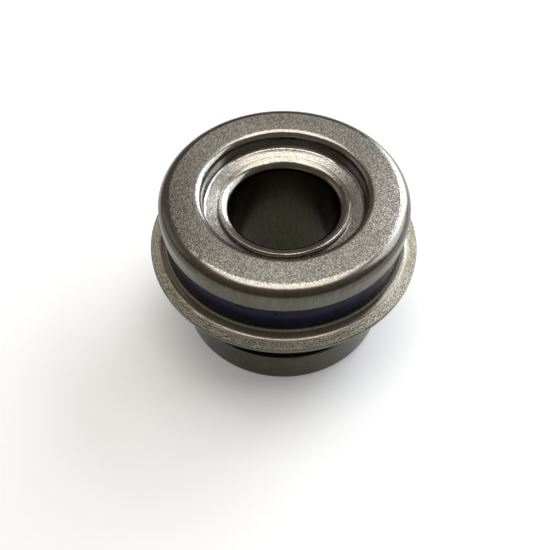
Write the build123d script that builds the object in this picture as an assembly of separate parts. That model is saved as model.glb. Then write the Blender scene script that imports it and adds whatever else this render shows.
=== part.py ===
from build123d import *

import math
import os

# Unitised cartridge mechanical seal for a coolant-pump shaft.
#
# The stationary half is a drawn casing pressed into the pump housing. It carries a rubber
# bellows, a coil spring and a carbon primary ring. The rotating half is a drawn shaft sleeve
# whose outer cup holds a hard mating ring in a rubber gasket. The sleeve's far end is flared
# over the casing's conical lip, so the two halves cannot come apart.
#
# Millimetres, +Z along the shaft axis. The origin is the centre of the sleeve cup's base, on
# which the part stands, so the casing's closed end looks up.

# Fits with the pump
bore_diameter = 15.92
housing_diameter = 36.5
flange_diameter = 41.0
flange_height = 16.5

# Casing
casing_wall = 0.7
casing_rise = 10.2
neck_length = 6.3
neck_step = 0.5
neck_root_radius = 1.6
step_root_radius = 0.12
skirt_edge_radius = 0.22
end_corner_radius = 1.8
recess_diameter = 23.8
recess_depth = 2.8
recess_edge_radius = 1.1
recess_root_radius = 0.55
lip_slope = 12.5

# Sealing lacquer on the casing's neck
sealant_thickness = 0.12
sealant_width = 3.9
thin_sealant_width = 2.1
thin_sealant_start = -25.0
thin_sealant_arc = 50.0

# Shaft sleeve with its cup
sleeve_wall = 0.6
flare_bend_radius = 1.5
cup_diameter = 32.8
cup_depth = 7.1
cup_corner_radius = 1.5
barrel_root_radius = 1.2

# Mating ring and its gasket
mating_ring_thickness = 5.1
mating_ring_chamfer = 0.3
gasket_wall = 1.56
gasket_floor = 1.3
gasket_floor_inner_diameter = 21.0
gasket_rim_recess = 0.9

# Carbon primary ring
face_outer_diameter = 26.0
carbon_inner_diameter = 21.8
nose_length = 1.6
carbon_length = 5.4
carbon_chamfer = 0.25

# Bellows
bellows_wall = 0.8
head_wall = 0.9
head_lap = 3.1
head_top_thickness = 0.9
head_hole_diameter = 22.8
head_crown_radius = 0.3
web_thickness = 0.9
fold_inset = 0.93
fold_depth = 1.0
fold_pitch = 1.9
fold_radius = 1.0
tail_length = 4.2
tail_top_below_end = 5.7

# Bands and seats inside the casing
clamp_ring_wall = 0.5
clamp_ring_bend_radius = 0.6
clamp_ring_lift = 0.6
head_band_wall = 0.4
head_band_length = 2.6
spring_seat_wall = 0.5
spring_seat_collar = 1.2
spring_seat_bend_radius = 0.8

# Spring
wire_diameter = 1.4
active_turns = 3.5
closed_turns = 1.0
closed_lead_gap = 0.06
ground_depth = 0.5

# Clearances, and the overlap that holds the two halves together
assembly_gap = 0.02
lip_tuck = 0.3
retaining_clearance = 0.1
retaining_overlap = 0.49
mating_ring_bore_clearance = 0.84
band_clearance = 0.36
spring_outer_clearance = 0.51
spring_inner_clearance = 0.3
edge_break = 0.12

# How much of a straight run a bend may use up, and how far a rounded edge may eat into a wall
shared_run_share = 0.49
end_run_share = 0.75
end_rounding_share = 0.4
gasket_rim_rounding_share = 0.3
cutter_margin = 1.0
same_place = 1e-4

# Places that follow from the sizes above
bore_radius = bore_diameter / 2
barrel_radius = bore_radius + sleeve_wall
skirt_radius = housing_diameter / 2
neck_radius = skirt_radius - neck_step
casing_inner_radius = neck_radius - casing_wall
end_face_z = flange_height + casing_rise
end_wall_z = end_face_z - casing_wall
skirt_bottom_z = flange_height + neck_length
ledge_z = end_face_z - recess_depth
recess_radius = recess_diameter / 2
lip_hole_radius = bore_radius + flare_bend_radius - lip_tuck
flare_radius = lip_hole_radius + retaining_overlap
lip_fall = math.tan(math.radians(lip_slope))
lip_z = ledge_z - (recess_radius - lip_hole_radius) * lip_fall
flare_lift = (retaining_clearance + sleeve_wall) / math.cos(math.radians(lip_slope))
flare_top_z = lip_z + retaining_overlap * lip_fall + flare_lift
flare_root_z = flare_top_z - (flare_radius - bore_radius) * lip_fall
cup_inner_radius = cup_diameter / 2 - sleeve_wall
mating_ring_radius = cup_inner_radius - gasket_wall - 2 * assembly_gap
mating_ring_inner_radius = barrel_radius + mating_ring_bore_clearance
mating_ring_bottom_z = sleeve_wall + gasket_floor
face_z = mating_ring_bottom_z + mating_ring_thickness
tail_radius = casing_inner_radius - assembly_gap
inner_fold_radius = tail_radius - fold_inset
outer_fold_radius = inner_fold_radius + fold_depth
head_band_radius = inner_fold_radius - bellows_wall - band_clearance
head_radius = head_band_radius - head_band_wall - assembly_gap
carbon_radius = head_radius - head_wall - assembly_gap
carbon_top_z = face_z + carbon_length
head_bottom_z = carbon_top_z - head_lap
head_top_z = carbon_top_z + head_top_thickness
seat_top_z = head_top_z + spring_seat_wall
tail_top_z = end_wall_z - tail_top_below_end
tail_bottom_z = tail_top_z - tail_length
clamp_ring_inner_radius = tail_radius - bellows_wall - assembly_gap - clamp_ring_wall
spring_outer_radius = clamp_ring_inner_radius - spring_outer_clearance
spring_mean_radius = spring_outer_radius - wire_diameter / 2
spring_inner_radius = spring_outer_radius - wire_diameter


def parallel_path(path, distance):
    """Corner points of the path that runs beside the given one, to its left."""
    runs = [(end - start).normalized() for start, end in zip(path, path[1:])]
    normals = [Vector(-run.Y, run.X) for run in runs]
    beside = [path[0] + normals[0] * distance]
    for corner, before, after in zip(path[1:-1], normals, normals[1:]):
        mitre = (before + after) * (distance / (1 + before.dot(after)))
        beside.append(corner + mitre)
    beside.append(path[-1] + normals[-1] * distance)
    return beside


def bend_radii(path, radii):
    """The radii, each limited to what the two runs beside its corner have room for."""
    lengths = [(end - start).length for start, end in zip(path, path[1:])]
    room = [length * shared_run_share for length in lengths]
    room[0] = lengths[0] * end_run_share
    room[-1] = lengths[-1] * end_run_share
    limited = []
    for index, radius in enumerate(radii):
        before = path[index + 1] - path[index]
        after = path[index + 2] - path[index + 1]
        half_turn = math.radians(before.get_angle(after)) / 2
        largest = min(room[index], room[index + 1]) / math.tan(half_turn)
        limited.append(min(radius, largest))
    return limited


def formed_sheet(points, radii, wall, end_radius=edge_break):
    """Section of a sheet bent along a path, with the sheet on the path's left side.

    The radii are those of the path's own side. The other side runs parallel to it, so the
    sheet keeps its wall round every bend.
    """
    path = [Vector(*point) for point in points]
    far_path = parallel_path(path, wall)
    far_radii = []
    for index, radius in enumerate(radii):
        before = path[index + 1] - path[index]
        after = path[index + 2] - path[index + 1]
        turns_left = before.cross(after).Z > 0
        far_radii.append(max(radius - wall, 0) if turns_left else radius + wall)
    near_side = FilletPolyline(*path, radius=bend_radii(path, radii))
    far_side = FilletPolyline(*far_path, radius=bend_radii(far_path, far_radii))
    outline = Curve() + near_side + far_side
    outline += Line(path[0], far_path[0])
    outline += Line(path[-1], far_path[-1])
    section = make_face(outline)
    ends = [path[0], path[-1], far_path[0], far_path[-1]]
    free_corners = [
        vertex
        for vertex in section.vertices()
        if min((Vector(vertex) - end).length for end in ends) < same_place
    ]
    return fillet(free_corners, radius=min(end_radius, wall * end_rounding_share))


def block(inner, outer, bottom, top):
    """Rectangular section of a plain ring, between two radii and two heights."""
    corners = [(inner, bottom), (outer, bottom), (outer, top), (inner, top)]
    return make_face(Polyline(*corners, close=True))


def turned(section, arc=360.0):
    """The body of revolution of a section drawn as (radius, height)."""
    return revolve(Plane.XZ * section, axis=Axis.Z, revolution_arc=arc)


def casing():
    """Drawn casing: flange, stepped neck, skirt, end wall, recess and conical lip."""
    outside = [
        (flange_diameter / 2, flange_height),
        (neck_radius, flange_height),
        (neck_radius, skirt_bottom_z),
        (skirt_radius, skirt_bottom_z),
        (skirt_radius, end_face_z),
        (recess_radius, end_face_z),
        (recess_radius, ledge_z),
        (lip_hole_radius, lip_z),
    ]
    bends = [
        neck_root_radius,
        step_root_radius,
        skirt_edge_radius,
        end_corner_radius,
        recess_edge_radius,
        recess_root_radius,
    ]
    return turned(formed_sheet(outside, bends, casing_wall))


def sealant_band():
    """Lacquer painted round the neck under the skirt, thinner over one arc."""
    inner = neck_radius
    outer = neck_radius + sealant_thickness
    top = skirt_bottom_z - step_root_radius
    bottom = top - sealant_width
    thin_bottom = top - thin_sealant_width
    band = turned(block(inner, outer, bottom, top))
    missing_section = block(
        inner - cutter_margin,
        outer + cutter_margin,
        bottom - cutter_margin,
        thin_bottom,
    )
    missing = turned(missing_section, thin_sealant_arc)
    return band - Rot(Z=thin_sealant_start) * missing


def shaft_sleeve():
    """Drawn sleeve: flare, barrel with the shaft bore, base and outer cup in one sheet."""
    outside = [
        (flare_radius, flare_top_z),
        (bore_radius, flare_root_z),
        (bore_radius, 0),
        (cup_diameter / 2, 0),
        (cup_diameter / 2, cup_depth),
    ]
    bends = [flare_bend_radius, barrel_root_radius, cup_corner_radius]
    return turned(formed_sheet(outside, bends, sleeve_wall))


def mating_ring():
    """Hard ring with the rotating sealing face on top, held in the cup by its gasket."""
    section = block(
        mating_ring_inner_radius,
        mating_ring_radius,
        mating_ring_bottom_z,
        face_z,
    )
    return turned(chamfer(section.vertices(), length=mating_ring_chamfer))


def mating_ring_gasket():
    """Rubber cup between the mating ring and the sleeve's cup."""
    outer = cup_inner_radius - assembly_gap
    inner = mating_ring_radius + assembly_gap
    top = cup_depth - gasket_rim_recess
    floor_section = block(
        gasket_floor_inner_diameter / 2, outer, sleeve_wall, mating_ring_bottom_z
    )
    wall_section = block(inner, outer, sleeve_wall, top)
    section = floor_section + wall_section
    cup_root = max(cup_corner_radius - sleeve_wall, 0) + assembly_gap
    root_corner = section.vertices().sort_by(Axis.Y)[:2].sort_by(Axis.X)[-1]
    section = fillet(root_corner, radius=min(cup_root, gasket_floor))
    rim_corners = section.vertices().sort_by(Axis.Y)[-2:]
    return turned(fillet(rim_corners, radius=(outer - inner) * gasket_rim_rounding_share))


def primary_ring():
    """Carbon ring with a raised nose that runs on the mating ring."""
    inner = carbon_inner_diameter / 2
    nose = block(inner, face_outer_diameter / 2, face_z, face_z + nose_length)
    body = block(inner, carbon_radius, face_z + nose_length, carbon_top_z)
    section = nose + body
    top_corners = section.vertices().sort_by(Axis.Y)[-2:]
    return turned(chamfer(top_corners, length=carbon_chamfer))


def bellows():
    """Rubber bellows: head round the carbon, one rolling fold, and the clamped tail."""
    inner = carbon_radius + assembly_gap
    head_side = block(inner, head_radius, head_bottom_z, head_top_z)
    head_top = block(head_hole_diameter / 2, head_radius, carbon_top_z, head_top_z)
    wet_side = [
        (inner + head_wall / 2, head_bottom_z),
        (inner_fold_radius, head_bottom_z),
        (inner_fold_radius, head_bottom_z + fold_pitch),
        (outer_fold_radius, head_bottom_z + 2 * fold_pitch),
        (inner_fold_radius, head_bottom_z + 3 * fold_pitch),
        (tail_radius, tail_bottom_z),
        (tail_radius, tail_top_z),
    ]
    folds = [web_thickness + fold_radius / 2] + [fold_radius] * 4
    wall_section = formed_sheet(wet_side, folds, bellows_wall)
    section = head_side + head_top + wall_section
    crown = [
        vertex
        for vertex in section.vertices()
        if abs(vertex.X - head_radius) < same_place
        and abs(vertex.Y - head_top_z) < same_place
    ]
    return turned(fillet(crown, radius=head_crown_radius))


def bellows_clamp_ring():
    """Drawn ring pressed into the casing, squeezing the bellows' tail against the wall."""
    top = tail_top_z + assembly_gap + clamp_ring_wall
    inside = [
        (tail_radius, top),
        (clamp_ring_inner_radius, top),
        (clamp_ring_inner_radius, tail_bottom_z + clamp_ring_lift),
    ]
    return turned(formed_sheet(inside, [clamp_ring_bend_radius], clamp_ring_wall))


def head_band():
    """Band that holds the bellows' head tight on the carbon."""
    bottom = head_bottom_z + web_thickness + assembly_gap
    inner = head_radius + assembly_gap
    section = block(inner, head_band_radius, bottom, bottom + head_band_length)
    return turned(fillet(section.vertices(), radius=edge_break))


def spring_seat():
    """Drawn washer on the bellows' head, with a collar that centres the spring."""
    collar_inner = spring_inner_radius - spring_inner_clearance - spring_seat_wall
    inside = [
        (collar_inner, seat_top_z + spring_seat_collar),
        (collar_inner, head_top_z),
        (spring_outer_radius, head_top_z),
    ]
    return turned(formed_sheet(inside, [spring_seat_bend_radius], spring_seat_wall))


def spring():
    """Coil spring with closed, ground ends, between its seat and the casing's end wall."""
    closed_lead = wire_diameter + closed_lead_gap
    closed_height = closed_lead * closed_turns
    wire_rise = end_wall_z - seat_top_z - wire_diameter + 2 * ground_depth
    active_height = wire_rise - 2 * closed_height
    lower_coil = Helix(pitch=closed_lead, height=closed_height, radius=spring_mean_radius)
    active_pitch = active_height / active_turns
    active_coil = Helix(pitch=active_pitch, height=active_height, radius=spring_mean_radius)
    upper_coil = Helix(pitch=closed_lead, height=closed_height, radius=spring_mean_radius)
    active_coil = Pos(Z=closed_height) * Rot(Z=360 * closed_turns) * active_coil
    upper_turn = 360 * (closed_turns + active_turns)
    upper_coil = Pos(Z=closed_height + active_height) * Rot(Z=upper_turn) * upper_coil
    path = Wire([*lower_coil.edges(), *active_coil.edges(), *upper_coil.edges()])
    wire_section = Plane(path @ 0, z_dir=path % 0) * Circle(wire_diameter / 2)
    wire = sweep(wire_section, path=path, transition=Transition.TRANSFORMED)
    wire = Pos(Z=seat_top_z + wire_diameter / 2 - ground_depth) * wire
    width = 2 * (spring_outer_radius + wire_diameter)
    middle_z = (seat_top_z + end_wall_z) / 2
    between_seats = Pos(Z=middle_z) * Box(width, width, end_wall_z - seat_top_z)
    return wire & between_seats


pieces = {
    "casing": casing,
    "sealant_band": sealant_band,
    "shaft_sleeve": shaft_sleeve,
    "mating_ring": mating_ring,
    "mating_ring_gasket": mating_ring_gasket,
    "primary_ring": primary_ring,
    "bellows": bellows,
    "bellows_clamp_ring": bellows_clamp_ring,
    "head_band": head_band,
    "spring_seat": spring_seat,
    "spring": spring,
}

os.makedirs("parts", exist_ok=True)
for name, make in pieces.items():
    export_step(make(), f"parts/{name}.step")
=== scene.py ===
import math
from types import SimpleNamespace

import bmesh
import bpy
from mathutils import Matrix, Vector, noise


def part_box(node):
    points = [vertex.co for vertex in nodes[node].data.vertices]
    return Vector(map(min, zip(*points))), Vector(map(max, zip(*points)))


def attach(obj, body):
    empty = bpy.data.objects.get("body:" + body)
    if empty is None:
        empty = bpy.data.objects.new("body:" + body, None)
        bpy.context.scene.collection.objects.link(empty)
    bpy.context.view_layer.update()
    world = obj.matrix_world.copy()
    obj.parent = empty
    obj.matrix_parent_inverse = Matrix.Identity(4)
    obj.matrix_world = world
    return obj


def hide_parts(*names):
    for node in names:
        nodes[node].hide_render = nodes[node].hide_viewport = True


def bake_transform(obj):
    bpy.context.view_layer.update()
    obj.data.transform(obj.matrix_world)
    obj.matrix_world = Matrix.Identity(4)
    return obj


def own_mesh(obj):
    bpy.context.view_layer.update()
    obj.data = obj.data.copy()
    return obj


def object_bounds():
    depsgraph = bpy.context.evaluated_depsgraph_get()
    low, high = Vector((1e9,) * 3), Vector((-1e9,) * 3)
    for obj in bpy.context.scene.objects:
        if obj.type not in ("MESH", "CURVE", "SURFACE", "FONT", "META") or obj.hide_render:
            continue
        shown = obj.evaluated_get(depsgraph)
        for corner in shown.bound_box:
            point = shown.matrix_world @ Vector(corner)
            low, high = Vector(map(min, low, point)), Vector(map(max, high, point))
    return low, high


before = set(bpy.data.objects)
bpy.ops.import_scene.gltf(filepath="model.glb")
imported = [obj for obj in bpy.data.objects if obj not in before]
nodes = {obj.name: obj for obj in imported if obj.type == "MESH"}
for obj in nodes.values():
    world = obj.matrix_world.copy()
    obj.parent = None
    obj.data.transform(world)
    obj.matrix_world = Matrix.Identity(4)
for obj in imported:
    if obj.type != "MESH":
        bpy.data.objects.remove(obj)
cad_low, cad_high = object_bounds()

# A unitised mechanical seal, standing on its rotating cup with the casing's closed end up.
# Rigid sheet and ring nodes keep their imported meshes. The lacquer, the gasket, the bellows
# and the spring are modelled here, because paint, rubber and wire need a finer form.
# Angles round the seal are counted from +X, with -Y in front.

MM = 0.001

# Fineness of turned forms, in steps round the axis and in each rounded corner
turn_segments = 288
lacquer_segments = 720
bellows_segments = 192
corner_steps = 8
lacquer_corner_steps = 5
fold_corner_steps = 10
corner_reach_share = 0.49
sheet_edge_share = 0.3
sharp_edge = math.radians(38)

# Lacquer: its uneven edges, and the arc over which the brush left it narrower
lacquer_thickness = 0.12 * MM
lacquer_rounding = 0.05 * MM
lacquer_shoulder = 0.05 * MM
lacquer_top_shoulder = 0.02 * MM
lacquer_top_lap = 0.18 * MM
lacquer_edge_rise = 0.112 * MM
lacquer_edge_wander = 0.08 * MM
lacquer_ripple_share = 0.45
lacquer_skin_wander = 0.02 * MM
lacquer_thin_start = math.radians(-32.5)
lacquer_thin_end = math.radians(24.0)
lacquer_sudden_arc = math.radians(3.5)
lacquer_gradual_arc = math.radians(28.0)
lacquer_thin_share = 0.54
lacquer_nick_angle = math.radians(-37.5)
lacquer_nick_half_arc = math.radians(0.9)
lacquer_nick_depth = 0.5 * MM
bubble_angle = math.radians(-94.0)
bubble_radius = 0.32 * MM
bubble_height_share = 0.72

# Spring, closed and ground flat at both ends
wire_radius = 0.7 * MM
wire_sides = 20
wire_steps_per_turn = 96
closed_turns = 1.0
active_turns = 3.5
closed_lead = 1.46 * MM
ground_depth = 0.5 * MM
spring_end_gap = 0.01 * MM

# Gasket: a moulded cup whose rim has a groove between two lips
gasket_wall = 1.56 * MM
gasket_floor = 1.3 * MM
gasket_hole_radius = 10.5 * MM
gasket_groove_half_width = 0.1872 * MM
gasket_groove_depth = 0.16 * MM
gasket_corner_rounding = 0.92 * MM
gasket_rim_rounding = 0.45 * MM
gasket_inner_rim_rounding = 0.4 * MM
gasket_groove_rounding = 0.12 * MM
gasket_hole_rounding = 0.2 * MM

# Bellows: its head round the carbon ring, one rolling fold and the clamped tail
bellows_wall = 0.8 * MM
bellows_head_wall = 0.9 * MM
bellows_head_fit = 0.02 * MM
bellows_head_lip = 2.2 * MM
bellows_head_rounding = 0.3 * MM
bellows_lip_rounding = 0.15 * MM
bellows_fold_pitch = 1.9 * MM
bellows_fold_inset = 0.93 * MM
bellows_fold_depth = 1.0 * MM
bellows_fold_bend = 1.0 * MM
bellows_root_bend = 1.4 * MM
bellows_tail_length = 4.2 * MM
rubber_rounding = 0.1 * MM
rubber_fine_rounding = 0.05 * MM

# How far the steel's regions reach from the edges that they are measured from
flange_reach = 1.3 * MM
end_face_reach = 0.1 * MM
lip_reach = 1.0 * MM
flare_reach = 0.4 * MM
neck_reach = 1.4 * MM
recess_radius = 12.3 * MM

# Over how far each region fades out
pebble_fade = 0.4 * MM
recess_radius_fade = 0.5 * MM
recess_height_fade = 1.2 * MM
neck_root_fade = 0.5 * MM
neck_top_fade = 0.3 * MM

# Keeps what is divided by the distance from the axis finite
axis_clearance = 0.01 * MM

# Stage and light
floor_half_size = 1.5
floor_gap = 0.01 * MM
floor_glow = 0.2
room_colour = (1.0, 0.83, 0.68)
room_strength = 0.17
daylight = (0.93, 0.97, 1.0)
white = (1.0, 1.0, 1.0)

# Camera, in the photograph's direction
camera_place = Vector((-1.35, -67.29, 97.90)) * MM
camera_tilt = math.radians(36.26)
camera_lens = 44.51
camera_sensor_width = 36.0
camera_clip_start = 1.0 * MM


# ---------------------------------------------------------------- geometry


def rounded(corners, steps=corner_steps):
    """A closed outline through (radius, height, rounding) corners."""
    outline = []
    for index, (across, up, rounding) in enumerate(corners):
        corner = Vector((across, up))
        if rounding <= 0:
            outline.append(corner)
            continue
        before = Vector(corners[index - 1][:2]) - corner
        after = Vector(corners[(index + 1) % len(corners)][:2]) - corner
        half_angle = before.angle(after) / 2
        longest_reach = min(before.length, after.length) * corner_reach_share
        reach = min(rounding / math.tan(half_angle), longest_reach)
        arc_radius = reach * math.tan(half_angle)
        start = corner + before.normalized() * reach
        end = corner + after.normalized() * reach
        middle = (before.normalized() + after.normalized()).normalized()
        centre = corner + middle * (arc_radius / math.sin(half_angle))
        for step in range(steps + 1):
            spoke = (start - centre).lerp(end - centre, step / steps)
            outline.append(centre + spoke.normalized() * arc_radius)
    return outline


def sheet(path, radii, wall, steps=corner_steps):
    """A closed outline of a sheet on the left of a path, of the same wall in its bends."""
    near = [Vector(point) for point in path]
    runs = [(end - start).normalized() for start, end in zip(near, near[1:])]
    normals = [Vector((-run.y, run.x)) for run in runs]
    far = [near[0] + normals[0] * wall]
    for corner, before, after in zip(near[1:-1], normals, normals[1:]):
        far.append(corner + (before + after) * (wall / (1 + before.dot(after))))
    far.append(near[-1] + normals[-1] * wall)
    far_radii = []
    for radius, before, after in zip(radii, runs, runs[1:]):
        turns_left = before.x * after.y - before.y * after.x > 0
        far_radii.append(max(radius - wall, 0) if turns_left else radius + wall)
    edge = wall * sheet_edge_share
    corners = [(*point, radius) for point, radius in zip(near, [edge, *radii, edge])]
    far_corners = [(*point, radius) for point, radius in zip(far, [edge, *far_radii, edge])]
    return rounded(corners + far_corners[::-1], steps)


def turn_profile(name, profile_at, segments=turn_segments):
    """A closed body of revolution; profile_at(angle) gives its closed outline there."""
    mesh = bmesh.new()
    rings = []
    for index in range(segments):
        angle = 2 * math.pi * index / segments
        cos, sin = math.cos(angle), math.sin(angle)
        outline = profile_at(angle)
        rings.append([mesh.verts.new((p.x * cos, p.x * sin, p.y)) for p in outline])
    for ring, following in zip(rings, rings[1:] + rings[:1]):
        join_rings(mesh, ring, following)
    return finished(name, mesh)


def join_rings(mesh, ring, following):
    """A band of faces between two rings of as many points."""
    count = len(ring)
    for index in range(count):
        after = (index + 1) % count
        mesh.faces.new((ring[index], following[index], following[after], ring[after]))


def finished(name, mesh):
    """Turns a bmesh into a smooth-shaded object whose normals look outward."""
    bmesh.ops.recalc_face_normals(mesh, faces=mesh.faces)
    data = bpy.data.meshes.new(name)
    mesh.to_mesh(data)
    mesh.free()
    data.shade_smooth()
    data.set_sharp_from_angle(angle=sharp_edge)
    piece = bpy.data.objects.new(name, data)
    bpy.context.scene.collection.objects.link(piece)
    return piece


def smoothstep(value, low, high):
    """0 below low, 1 above high, and a soft rise between them."""
    share = min(max((value - low) / (high - low), 0.0), 1.0)
    return share * share * (3 - 2 * share)


def around(angle, waves, seed):
    """Smooth noise that closes on itself round the axis, about -1 to 1."""
    return noise.noise(Vector((math.cos(angle) * waves, math.sin(angle) * waves, seed)))


# ---------------------------------------------------------------- pieces


def make_lacquer():
    """Brushed-on lacquer: uneven lower edge, soft shoulders, and an arc where it is narrow."""
    low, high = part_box("sealant_band")
    neck_radius = high.x - lacquer_thickness
    full_width = high.z - low.z
    narrowing = full_width * (1 - lacquer_thin_share)

    def profile(angle):
        turn = math.remainder(angle, 2 * math.pi)
        thin = smoothstep(turn, lacquer_thin_start - lacquer_sudden_arc, lacquer_thin_start)
        thin *= 1 - smoothstep(turn, lacquer_thin_end, lacquer_thin_end + lacquer_gradual_arc)
        from_nick = (turn - lacquer_nick_angle) / lacquer_nick_half_arc
        wander = around(angle, waves=2.2, seed=1.7)
        wander += lacquer_ripple_share * around(angle, waves=7.0, seed=4.1)
        bottom = low.z + narrowing * thin
        bottom += lacquer_nick_depth * math.exp(-from_nick * from_nick)
        bottom += lacquer_edge_rise + lacquer_edge_wander * wander
        shrink = lacquer_skin_wander * (1 + around(angle, waves=5.0, seed=9.3))
        top = high.z + lacquer_top_lap - shrink
        skin = high.x - lacquer_skin_wander * (1 + around(angle, waves=3.0, seed=6.6))
        corners = [
            (neck_radius, bottom, 0),
            (skin, bottom + lacquer_shoulder, lacquer_rounding),
            (skin, top - lacquer_top_shoulder, lacquer_rounding),
            (neck_radius, top, 0),
        ]
        return rounded(corners, lacquer_corner_steps)

    piece = turn_profile("lacquer_band", profile, lacquer_segments)
    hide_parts("sealant_band")
    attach(piece, "stator")
    return piece


def make_gasket():
    """Moulded rubber cup between mating ring and sleeve cup, with a grooved, lipped rim."""
    low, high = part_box("mating_ring_gasket")
    outer = high.x
    inner = outer - gasket_wall
    middle = (inner + outer) / 2
    floor_top = low.z + gasket_floor
    outline = rounded([
        (gasket_hole_radius, low.z, rubber_rounding),
        (outer, low.z, gasket_corner_rounding),
        (outer, high.z, gasket_rim_rounding),
        (middle + gasket_groove_half_width, high.z, gasket_groove_rounding),
        (middle, high.z - gasket_groove_depth, gasket_groove_rounding),
        (middle - gasket_groove_half_width, high.z, gasket_groove_rounding),
        (inner, high.z, gasket_inner_rim_rounding),
        (inner, floor_top, rubber_rounding),
        (gasket_hole_radius, floor_top, gasket_hole_rounding),
    ])
    piece = turn_profile("gasket_rubber", lambda angle: outline)
    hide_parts("mating_ring_gasket")
    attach(piece, "rotor")
    return piece


def bellows_head_radii():
    """Inner and outer radius of the bellows' head, which hugs the carbon ring."""
    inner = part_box("primary_ring")[1].x + bellows_head_fit
    return inner, inner + bellows_head_wall


def make_bellows_head():
    """The bellows' head, moulded round the carbon ring and under the spring's seat."""
    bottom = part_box("bellows")[0].z
    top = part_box("spring_seat")[0].z
    carbon_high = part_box("primary_ring")[1]
    hole = carbon_high.x - bellows_head_lip
    inner, outer = bellows_head_radii()
    outline = rounded([
        (inner, bottom, rubber_rounding),
        (outer, bottom, rubber_fine_rounding),
        (outer, top, bellows_head_rounding),
        (hole, top, bellows_lip_rounding),
        (hole, carbon_high.z, rubber_rounding),
        (inner, carbon_high.z, rubber_fine_rounding),
    ])
    piece = turn_profile("bellows_head", lambda angle: outline, bellows_segments)
    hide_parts("bellows")
    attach(piece, "seal_head")
    return piece


def make_bellows_fold():
    """The bellows' rolling fold and its clamped tail, which in the real seal give as the
    casing slides.
    """
    low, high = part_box("bellows")
    tail = high.x
    inward = tail - bellows_fold_inset
    outward = inward + bellows_fold_depth
    path = [
        (sum(bellows_head_radii()) / 2, low.z),
        (inward, low.z),
        (inward, low.z + bellows_fold_pitch),
        (outward, low.z + 2 * bellows_fold_pitch),
        (inward, low.z + 3 * bellows_fold_pitch),
        (tail, high.z - bellows_tail_length),
        (tail, high.z),
    ]
    radii = [bellows_root_bend] + [bellows_fold_bend] * (len(path) - 3)
    outline = sheet(path, radii, bellows_wall, fold_corner_steps)
    piece = turn_profile("bellows_fold", lambda angle: outline, bellows_segments)
    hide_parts("bellows")
    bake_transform(piece)
    return piece


def make_spring():
    """Coil spring from its formula, its first and last turns closed and ground flat."""
    low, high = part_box("spring")
    lowest = low.z + spring_end_gap
    highest = high.z - spring_end_gap
    mean_radius = high.x - wire_radius
    first = low.z + wire_radius - ground_depth
    rise = high.z - low.z - 2 * (wire_radius - ground_depth)
    active_pitch = (rise - 2 * closed_lead * closed_turns) / active_turns
    turns = 2 * closed_turns + active_turns

    def height(turn):
        closing = min(turn, closed_turns)
        coiling = min(max(turn - closed_turns, 0), active_turns)
        ending = max(turn - closed_turns - active_turns, 0)
        return first + (closing + ending) * closed_lead + coiling * active_pitch

    mesh = bmesh.new()
    rings = []
    steps = int(turns * wire_steps_per_turn)
    for step in range(steps + 1):
        turn = turns * step / steps
        angle = 2 * math.pi * turn
        outward = Vector((math.cos(angle), math.sin(angle), 0))
        centre = outward * mean_radius + Vector((0, 0, height(turn)))
        ring = []
        for side in range(wire_sides):
            roll = 2 * math.pi * side / wire_sides
            place = centre + outward * (wire_radius * math.cos(roll))
            place.z += wire_radius * math.sin(roll)
            place.z = min(max(place.z, lowest), highest)
            ring.append(mesh.verts.new(place))
        rings.append(ring)
    for ring, following in zip(rings, rings[1:]):
        join_rings(mesh, ring, following)
    for end in (rings[0], rings[-1]):
        mesh.faces.new(end)
    piece = finished("spring_wire", mesh)
    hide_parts("spring")
    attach(piece, "stator")
    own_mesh(piece)
    return piece


# ---------------------------------------------------------------- shader nodes


def new_material(name):
    """A node material with one shader on its surface."""
    material = bpy.data.materials.new(name)
    material.use_nodes = True
    tree = material.node_tree
    tree.nodes.clear()
    output = tree.nodes.new("ShaderNodeOutputMaterial")
    shader = tree.nodes.new("ShaderNodeBsdfPrincipled")
    tree.links.new(shader.outputs["BSDF"], output.inputs["Surface"])
    return material, tree, shader


def supply(tree, socket, value):
    """Feeds a socket from another socket, or sets it to a value."""
    if isinstance(value, bpy.types.NodeSocket):
        tree.links.new(value, socket)
    else:
        socket.default_value = value


def feed(tree, shader, **sockets):
    """Supplies the shader's sockets, named with _ for a space."""
    for name, value in sockets.items():
        supply(tree, shader.inputs[name.replace("_", " ")], value)


def add(tree, kind, inputs=None, **settings):
    """A node with settings; inputs are values or the sockets that feed them."""
    node = tree.nodes.new(kind)
    for key, value in settings.items():
        setattr(node, key, value)
    for key, value in (inputs or {}).items():
        supply(tree, node.inputs[key], value)
    return node


def maths(tree, operation, first, second=0.0):
    return add(tree, "ShaderNodeMath", {0: first, 1: second}, operation=operation).outputs[0]


def plus(tree, first, second):
    return maths(tree, "ADD", first, second)


def times(tree, first, second):
    return maths(tree, "MULTIPLY", first, second)


def inverse(tree, value):
    return maths(tree, "SUBTRACT", 1.0, value)


def span(tree, value, low, high):
    """0 below low, 1 above high, and even between them."""
    inputs = {"Value": value, "From Min": low, "From Max": high}
    return add(tree, "ShaderNodeMapRange", inputs).outputs[0]


def between(tree, factor, low, high):
    """low where the factor is 0, high where it is 1, and never beyond them."""
    inputs = {"Value": factor, "To Min": low, "To Max": high}
    return add(tree, "ShaderNodeMapRange", inputs).outputs[0]


def mixed(tree, factor, low, high):
    """low where the factor is 0 and high where it is 1; both may be sockets."""
    node = add(tree, "ShaderNodeMix", {0: factor, 2: low, 3: high}, data_type="FLOAT")
    return node.outputs[0]


def mixed_vector(tree, factor, low, high):
    """As mixed, for colours and vectors."""
    node = add(tree, "ShaderNodeMix", {0: factor, 4: low, 5: high}, data_type="VECTOR")
    return node.outputs[1]


def vector_maths(tree, operation, first, second):
    return add(tree, "ShaderNodeVectorMath", {0: first, 1: second}, operation=operation)


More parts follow.
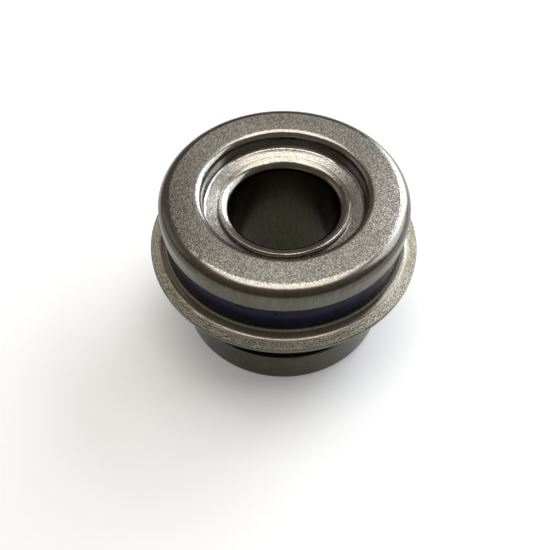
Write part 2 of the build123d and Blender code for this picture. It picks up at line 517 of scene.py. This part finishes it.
def ramp(tree, factor, low, low_colour, high, high_colour):
    """Colour that goes from one to the other as the factor goes from low to high."""
    node = add(tree, "ShaderNodeValToRGB", {"Fac": factor})
    stops = [(low, low_colour), (high, high_colour)]
    for element, (place, colour) in zip(node.color_ramp.elements, stops):
        element.position = place
        element.color = (*colour, 1.0)
    return node.outputs["Color"]


def bump(tree, height, distance, normal=None):
    inputs = {"Height": height, "Distance": distance}
    if normal is not None:
        inputs["Normal"] = normal
    return add(tree, "ShaderNodeBump", inputs).outputs["Normal"]


def place_of(tree):
    return add(tree, "ShaderNodeTexCoord").outputs["Object"]


def parts_of(tree, vector):
    """The three parts of a vector."""
    return add(tree, "ShaderNodeSeparateXYZ", {0: vector}).outputs


def axis_distance(tree, place):
    """Distance from the seal's axis, kept off zero."""
    squares = [maths(tree, "POWER", part, 2.0) for part in parts_of(tree, place)[:2]]
    radius = maths(tree, "SQRT", plus(tree, *squares))
    return maths(tree, "MAXIMUM", radius, axis_clearance)


def turned_place(tree, place, round_axis, along_axis):
    """Coordinates on a unit circle round the axis, scaled round it and along it."""
    east, north, height = parts_of(tree, place)
    radius = axis_distance(tree, place)
    inputs = {
        0: times(tree, maths(tree, "DIVIDE", east, radius), round_axis),
        1: times(tree, maths(tree, "DIVIDE", north, radius), round_axis),
        2: times(tree, height, along_axis),
    }
    return add(tree, "ShaderNodeCombineXYZ", inputs).outputs[0]


def facing_axis(tree, low, high):
    """1 where the surface faces along the axis, such as the end face, and 0 on walls."""
    normal = add(tree, "ShaderNodeTexCoord").outputs["Normal"]
    tilt = maths(tree, "ABSOLUTE", parts_of(tree, normal)[2])
    return span(tree, tilt, low, high)


def grain(tree, place, scale=1.0, detail=2.0, roughness=0.5):
    """Noise from 0 to 1; on plain coordinates its scale is in grains to the metre."""
    inputs = {"Vector": place, "Scale": scale, "Detail": detail, "Roughness": roughness}
    return add(tree, "ShaderNodeTexNoise", inputs).outputs["Fac"]


# ---------------------------------------------------------------- materials


def steel_regions(tree, place, flange_top, end_face, recess_top, neck_low=0.0, neck_high=0.0):
    """Where a pressed sheet's looks differ, each as a mask from 0 to 1.

    Level faces are pebbled below flange_top and above end_face. The band between neck_low and
    neck_high is where painted shade darkens the sheet; without these heights there is none.
    """
    height = parts_of(tree, place)[2]
    under = inverse(tree, span(tree, height, flange_top, flange_top + pebble_fade))
    over = span(tree, height, end_face - pebble_fade, end_face)
    level = facing_axis(tree, low=0.955, high=0.998)
    outside_recess = span(
        tree, axis_distance(tree, place), recess_radius, recess_radius + recess_radius_fade
    )
    high_up = span(tree, height, recess_top - recess_height_fade, recess_top)
    above_root = span(tree, height, neck_low, neck_low + neck_root_fade)
    below_skirt = inverse(tree, span(tree, height, neck_high - neck_top_fade, neck_high))
    return SimpleNamespace(
        flat=facing_axis(tree, low=0.45, high=0.92),
        under=under,
        sanded=times(tree, level, maths(tree, "MAXIMUM", under, over)),
        recess=times(tree, inverse(tree, outside_recess), high_up),
        neck_painted_shade=times(tree, above_root, below_skirt),
    )


def steel_tint_and_painted_light(tree, on, walls, recess, flange=white, neck_painted_shade=white):
    """Tint of the steel by region; the end face has none. The darker walls and the dark band
    over the flange's root are painted shade, the brighter recess is painted light, and the
    flange keeps its own warmer tone.
    """
    tint_and_painted_light = mixed_vector(tree, on.under, white, flange)
    tint_and_painted_light = mixed_vector(tree, on.flat, walls, tint_and_painted_light)
    tint_and_painted_light = mixed_vector(tree, on.recess, tint_and_painted_light, recess)
    return mixed_vector(tree, on.neck_painted_shade, tint_and_painted_light, neck_painted_shade)


def steel_speckle(tree, place, on, pebbles):
    """Brightness by place: speckled by the pebbles on level faces, worn elsewhere."""
    contrast = mixed(tree, on.under, low=0.85, high=0.95)
    pits = maths(tree, "SUBTRACT", span(tree, pebbles, low=0.32, high=0.68), 0.5)
    pitted = plus(tree, times(tree, pits, contrast), 1.0)
    smears = vector_maths(tree, "MULTIPLY", place, (2600.0, 2600.0, 500.0)).outputs[0]
    handling = grain(tree, smears, detail=4.0, roughness=0.7)
    handling = span(tree, handling, low=0.28, high=0.72)
    worn = plus(tree, times(tree, handling, 0.5), 0.75)
    grained = maths(tree, "MAXIMUM", on.sanded, times(tree, on.recess, 0.6))
    return mixed(tree, grained, worn, pitted)


def steel_roughness(tree, place, on, streaks):
    """Roughness of the end face, flange, walls and recess."""
    fine = grain(tree, place, scale=14000.0, detail=1.0)
    end_face = between(tree, fine, low=0.14, high=0.22)
    flange = between(tree, fine, low=0.26, high=0.38)
    walls = between(tree, streaks, low=0.18, high=0.30)
    recess = between(tree, fine, low=0.12, high=0.20)
    sanded = mixed(tree, on.under, end_face, flange)
    plain = mixed(tree, on.recess, walls, recess)
    return mixed(tree, on.sanded, plain, sanded)


def steel_relief(tree, on, pebbles):
    """Height of the pebbles: deep on the flange, less so on the end face, faint on walls."""
    sanded_share = mixed(tree, on.under, low=0.42, high=1.7)
    share = mixed(tree, on.sanded, low=0.05, high=sanded_share)
    share = mixed(tree, on.recess, low=share, high=0.35)
    return times(tree, pebbles, share)


def pressed_steel(name, dark, light, tints_and_painted_light, bounds, pebble_depth, draw_depth):
    """Drawn stainless: pebbled where the sheet was stretched flat, streaked on its walls, with
    painted shade darkening its walls and the band over the flange's root, and painted light
    brightening its recess.

    tints and bounds are what steel_tint_and_painted_light and steel_regions take.
    """
    material, tree, shader = new_material(name)
    place = place_of(tree)
    on = steel_regions(tree, place, **bounds)
    pebbles = grain(tree, place, scale=6200.0, detail=0.0)
    blotches = grain(tree, place, scale=160.0, detail=4.0, roughness=0.6)
    streak_place = turned_place(tree, place, round_axis=110.0, along_axis=45.0)
    streaks = grain(tree, streak_place, detail=4.0, roughness=0.65)
    drawn = mixed(tree, on.flat, streaks, 0.5)

    tone = plus(tree, times(tree, blotches, 0.5), times(tree, drawn, 0.5))
    clean = ramp(tree, tone, 0.34, dark, 0.66, light)
    # Painted shade darkens the walls and the band over the flange's root, and painted light
    # brightens the recess
    tinted_with_painted_light = vector_maths(tree, "MULTIPLY", clean, steel_tint_and_painted_light(tree, on, **tints_and_painted_light)).outputs[0]
    speckle = steel_speckle(tree, place, on, pebbles)
    colour = add(
        tree, "ShaderNodeVectorMath", {0: tinted_with_painted_light, "Scale": speckle}, operation="SCALE"
    ).outputs[0]
    surface = bump(tree, steel_relief(tree, on, pebbles), pebble_depth)
    surface = bump(tree, drawn, draw_depth, surface)
    roughness = steel_roughness(tree, place, on, streaks)
    feed(tree, shader, Metallic=1.0, Base_Color=colour, Roughness=roughness, Normal=surface)
    return material


def wire_steel():
    """Hard-drawn wire and thin pressings: colder grey, with fine die lines."""
    material, tree, shader = new_material("hard_drawn_steel")
    place = place_of(tree)
    lines = grain(tree, turned_place(tree, place, round_axis=14.0, along_axis=9000.0))
    blotches = grain(tree, place, scale=260.0, detail=3.0)
    colour = ramp(tree, blotches, 0.3, (0.20, 0.195, 0.18), 0.7, (0.34, 0.335, 0.32))
    feed(tree, shader, Metallic=1.0, Base_Color=colour)
    feed(tree, shader, Roughness=between(tree, lines, low=0.22, high=0.4))
    feed(tree, shader, Normal=bump(tree, lines, 0.003 * MM))
    return material


def lacquer():
    """Glossy navy sealing lacquer, pooled unevenly by the brush, with one dried bubble."""
    material, tree, shader = new_material("navy_lacquer")
    place = place_of(tree)
    brushed = turned_place(tree, place, round_axis=9.0, along_axis=300.0)
    pooled = grain(tree, brushed, detail=3.0, roughness=0.55)
    dust = grain(tree, place, scale=2600.0)
    colour = ramp(tree, pooled, 0.3, (0.0035, 0.0045, 0.018), 0.7, (0.008, 0.010, 0.042))
    feed(tree, shader, Base_Color=colour, IOR=1.5, Specular_IOR_Level=0.06)
    feed(tree, shader, Roughness=between(tree, dust, low=0.14, high=0.3))
    away = vector_maths(tree, "DISTANCE", place, bubble_place()).outputs["Value"]
    dome = inverse(tree, span(tree, away, 0.5 * bubble_radius, bubble_radius))
    surface = bump(tree, pooled, 0.03 * MM)
    surface = bump(tree, dust, 0.002 * MM, surface)
    feed(tree, shader, Normal=bump(tree, dome, 0.06 * MM, surface))
    return material


def bubble_place():
    """Where the bubble dried, at the front of the lacquer."""
    low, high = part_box("sealant_band")
    height = low.z + (high.z - low.z) * bubble_height_share
    return Vector((math.cos(bubble_angle) * high.x, math.sin(bubble_angle) * high.x, height))


def moulded_rubber():
    """Black moulded rubber with a bloom of talc and a fine mould texture."""
    material, tree, shader = new_material("moulded_rubber")
    place = place_of(tree)
    bloom = grain(tree, place, scale=420.0, detail=5.0, roughness=0.65)
    skin = grain(tree, place, scale=5200.0)
    colour = ramp(tree, bloom, 0.35, (0.009, 0.009, 0.009), 0.75, (0.024, 0.023, 0.022))
    feed(tree, shader, Base_Color=colour)
    feed(tree, shader, Roughness=between(tree, skin, low=0.5, high=0.75))
    feed(tree, shader, Normal=bump(tree, skin, 0.005 * MM))
    return material


def carbon_graphite():
    """Resin-bound carbon: fine dark grains with a few brighter graphite flakes."""
    material, tree, shader = new_material("carbon_graphite")
    place = place_of(tree)
    flakes = grain(tree, place, scale=7000.0, detail=3.0, roughness=0.7)
    lathe_place = turned_place(tree, place, round_axis=3.0, along_axis=16000.0)
    turning = grain(tree, lathe_place, detail=1.0)
    colour = ramp(tree, flakes, 0.4, (0.022, 0.022, 0.024), 0.78, (0.085, 0.085, 0.09))
    feed(tree, shader, Base_Color=colour)
    feed(tree, shader, Roughness=between(tree, turning, low=0.34, high=0.52))
    feed(tree, shader, Normal=bump(tree, turning, 0.002 * MM))
    return material


def lapped_ceramic():
    """Lapped silicon carbide: near-black, dense, with a faint crystalline mottle."""
    material, tree, shader = new_material("lapped_ceramic")
    crystals = {"Vector": place_of(tree), "Scale": 5200.0}
    mottle = add(tree, "ShaderNodeTexVoronoi", crystals).outputs["Distance"]
    colour = ramp(tree, mottle, 0.1, (0.05, 0.05, 0.055), 0.8, (0.10, 0.10, 0.108))
    lapped = facing_axis(tree, low=0.9, high=0.99)
    feed(tree, shader, Base_Color=colour, IOR=2.4)
    feed(tree, shader, Roughness=between(tree, lapped, low=0.42, high=0.12))
    feed(tree, shader, Normal=bump(tree, mottle, 0.001 * MM))
    return material


def dress(piece, material):
    """Gives all of a piece one material."""
    if not piece.data.materials:
        piece.data.materials.append(material)
    for slot in piece.material_slots:
        slot.material = material


# ---------------------------------------------------------------- stage, light, camera


def make_floor():
    """A wide sheet just under the cup's base."""
    mesh = bmesh.new()
    bmesh.ops.create_grid(mesh, x_segments=1, y_segments=1, size=floor_half_size)
    floor = finished("floor", mesh)
    floor.location.z = cad_low.z - floor_gap
    dress(floor, pale_floor())


def pale_floor():
    """Matt paper that glows a little for the camera and in reflections, and keeps shadows."""
    material, tree, shader = new_material("pale_floor")
    paper = grain(tree, place_of(tree), scale=900.0, detail=3.0)
    colour = ramp(tree, paper, 0.3, (0.85, 0.875, 0.915), 0.7, (0.88, 0.905, 0.945))
    feed(tree, shader, Base_Color=colour, Roughness=0.9, Specular_IOR_Level=0.1)
    path = add(tree, "ShaderNodeLightPath").outputs
    seen = plus(tree, path["Is Camera Ray"], path["Is Glossy Ray"])
    seen = plus(tree, seen, path["Is Transmission Ray"])
    glow = times(tree, maths(tree, "MINIMUM", seen, 1.0), floor_glow)
    feed(tree, shader, Emission_Color=(*white, 1.0), Emission_Strength=glow)
    return material


def lamp(name, azimuth, elevation, distance, width, height, radiance, colour):
    """A soft rectangular lamp that looks at the part; azimuth 0 is behind it, +X is 90."""
    light = bpy.data.lights.new(name, "AREA")
    light.shape = "RECTANGLE"
    light.size = width
    light.size_y = height
    light.color = colour
    light.energy = radiance * width * height * math.pi
    turn, rise = math.radians(azimuth), math.radians(elevation)
    level_way = Vector((math.sin(turn), math.cos(turn), 0.0))
    way = level_way * math.cos(rise) + Vector((0.0, 0.0, math.sin(rise)))
    item = bpy.data.objects.new(name, light)
    item.location = Vector((0, 0, cad_high.z)) + way * distance
    item.rotation_euler = way.to_track_quat("Z", "Y").to_euler()
    bpy.context.scene.collection.objects.link(item)


def make_light():
    """A dim warm room with a lamp overhead, two windows on the right and two pale walls."""
    world = bpy.data.worlds.new("soft_room")
    world.use_nodes = True
    background = world.node_tree.nodes["Background"]
    background.inputs["Color"].default_value = (*room_colour, 1.0)
    background.inputs["Strength"].default_value = room_strength
    bpy.context.scene.world = world
    lamp("ceiling", azimuth=0, elevation=84, distance=0.60, width=0.50, height=0.44,
         radiance=3.1, colour=(1.0, 0.965, 0.88))
    lamp("window", azimuth=41, elevation=28, distance=0.70, width=0.40, height=0.58,
         radiance=4.6, colour=daylight)
    lamp("side_window", azimuth=78, elevation=30, distance=0.80, width=0.42, height=0.60,
         radiance=2.2, colour=daylight)
    lamp("back_wall", azimuth=2, elevation=51, distance=0.90, width=0.33, height=0.50,
         radiance=0.8, colour=(1.0, 0.98, 0.93))
    lamp("side_wall", azimuth=-75, elevation=22, distance=0.90, width=0.60, height=0.40,
         radiance=0.25, colour=(1.0, 0.96, 0.90))


def make_camera():
    """The photograph's view, from the front and above."""
    data = bpy.data.cameras.new("camera")
    data.lens = camera_lens
    data.sensor_width = camera_sensor_width
    data.clip_start = camera_clip_start
    camera = bpy.data.objects.new("camera", data)
    camera.location = camera_place
    camera.rotation_euler = (camera_tilt, 0, 0)
    bpy.context.scene.collection.objects.link(camera)
    bpy.context.scene.camera = camera


# ---------------------------------------------------------------- assembly

casing_low, casing_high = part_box("casing")
lacquer_low, lacquer_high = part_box("sealant_band")
flare_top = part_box("shaft_sleeve")[1].z

casing_steel = pressed_steel(
    "casing_steel",
    dark=(0.22, 0.211, 0.192),
    light=(0.32, 0.308, 0.283),
    tints_and_painted_light={
        # The darker walls and the dark band over the flange's root are painted shade, the
        # brighter recess is painted light, the flange its own warmer tone
        "walls": (0.38, 0.365, 0.32),
        "recess": (1.30, 1.32, 1.36),
        "flange": (0.98, 0.96, 0.89),
        "neck_painted_shade": (0.23, 0.208, 0.172),
    },
    bounds={
        "flange_top": casing_low.z + flange_reach,
        "end_face": casing_high.z - end_face_reach,
        "recess_top": flare_top - lip_reach,
        "neck_low": lacquer_low.z - neck_reach,
        "neck_high": lacquer_high.z,
    },
    pebble_depth=0.04 * MM,
    draw_depth=0.004 * MM,
)
# The sleeve has no pebbled faces, so their bounds lie clear of it
sleeve_steel = pressed_steel(
    "sleeve_steel",
    dark=(0.20, 0.186, 0.148),
    light=(0.29, 0.272, 0.224),
    tints_and_painted_light={
        # The sleeve's darker walls are painted shade, and its brighter, cooler recess at the
        # flare is painted light
        "walls": (0.25, 0.238, 0.204),
        "recess": (1.30, 1.34, 1.49),
    },
    bounds={
        "flange_top": cad_low.z - 1.0 * MM,
        "end_face": flare_top + 1.0 * MM,
        "recess_top": flare_top - flare_reach,
    },
    pebble_depth=0.035 * MM,
    draw_depth=0.006 * MM,
)
hard_steel = wire_steel()
rubber = moulded_rubber()

dress(nodes["casing"], casing_steel)
dress(nodes["shaft_sleeve"], sleeve_steel)
dress(nodes["mating_ring"], lapped_ceramic())
dress(nodes["primary_ring"], carbon_graphite())
for name in ("bellows_clamp_ring", "head_band", "spring_seat"):
    dress(nodes[name], hard_steel)

dress(make_lacquer(), lacquer())
for piece in (make_gasket(), make_bellows_head(), make_bellows_fold()):
    dress(piece, rubber)
dress(make_spring(), hard_steel)

make_floor()
make_light()
make_camera()
bpy.context.scene.view_settings.view_transform = "Standard"
